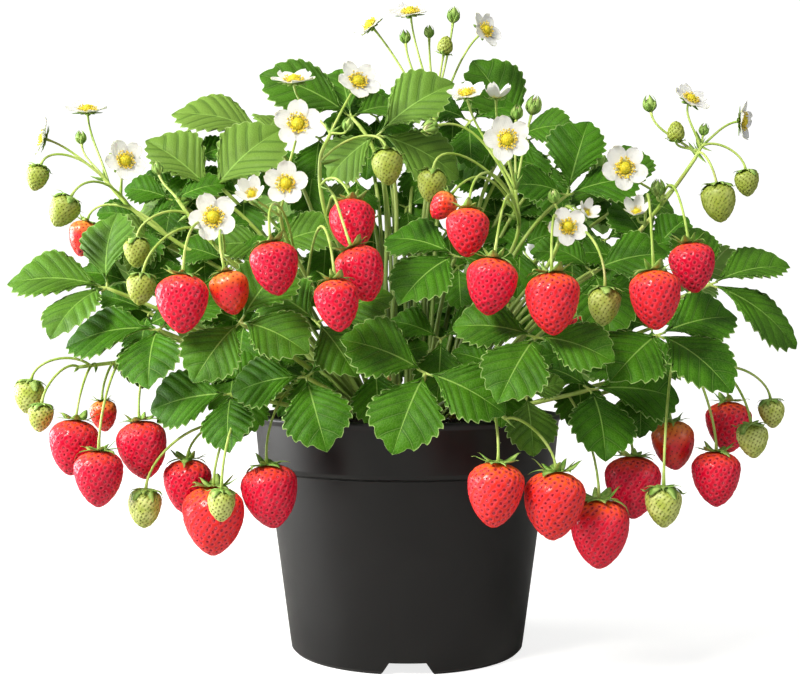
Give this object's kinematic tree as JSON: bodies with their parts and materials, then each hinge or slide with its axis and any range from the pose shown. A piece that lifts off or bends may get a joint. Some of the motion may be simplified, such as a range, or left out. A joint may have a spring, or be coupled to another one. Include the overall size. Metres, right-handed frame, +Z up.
{
  "type": "potted strawberry plant",
  "caption": "Potted strawberry plant in flower and fruit: toothed three-part leaves, white flowers and hanging berries round a crown in a round black nursery pot.",
  "frame": {"origin": "middle of the pot's foot, on the plane it stands on", "axes": "+Z up the pot's axis, -Y toward the plant's best side, +X to the right seen from that side"},
  "size_m": [0.4133, 0.3011, 0.3642],
  "materials": {
    "pot_plastic": "satin",
    "compost": "matte",
    "crown": "matte",
    "leaf": "satin",
    "spray": "satin",
    "ripe_berry": "gloss"
  },
  "bodies": {
    "root": {"berry_left_1": "ripe_berry", "berry_left_2": "ripe_berry", "berry_left_3": "ripe_berry", "berry_left_4": "ripe_berry", "berry_left_5": "ripe_berry", "berry_left_6": "ripe_berry", "berry_right_1": "ripe_berry", "berry_right_2": "ripe_berry", "berry_right_3": "ripe_berry", "berry_right_4": "ripe_berry", "berry_right_5": "ripe_berry", "berry_right_6": "ripe_berry", "berry_upper_1": "ripe_berry", "berry_upper_10": "ripe_berry", "berry_upper_2": "ripe_berry", "berry_upper_3": "ripe_berry", "berry_upper_4": "ripe_berry", "berry_upper_5": "ripe_berry", "berry_upper_6": "ripe_berry", "berry_upper_7": "ripe_berry", "berry_upper_8": "ripe_berry", "berry_upper_9": "ripe_berry", "crown": "crown", "leaf_front_left": "leaf", "leaf_front_left_high": "leaf", "leaf_front_left_low": "leaf", "leaf_front_middle": "leaf", "leaf_front_right": "leaf", "leaf_left_far": "leaf", "leaf_left_side": "leaf", "leaf_left_top": "leaf", "leaf_middle": "leaf", "leaf_right_far": "leaf", "leaf_right_front": "leaf", "leaf_right_low": "leaf", "leaf_top_left": "leaf", "leaf_top_middle": "leaf", "leaf_top_right": "leaf", "pot": "pot_plastic", "shoot_back_left": "leaf", "shoot_back_middle": "leaf", "shoot_back_right": "leaf", "shoot_inner_left": "leaf", "shoot_inner_right": "leaf", "shoot_left_high": "leaf", "shoot_top_right": "leaf", "soil": "compost", "spray_back_left": "spray", "spray_back_right": "spray", "spray_center_left": "spray", "spray_center_right": "spray", "spray_left_front": "spray", "spray_left_high": "spray", "spray_left_low": "spray", "spray_left_middle": "spray", "spray_right_front": "spray", "spray_right_high": "spray", "spray_right_low": "spray", "spray_right_middle": "spray", "spray_top": "spray"}
  },
  "joints": []
}
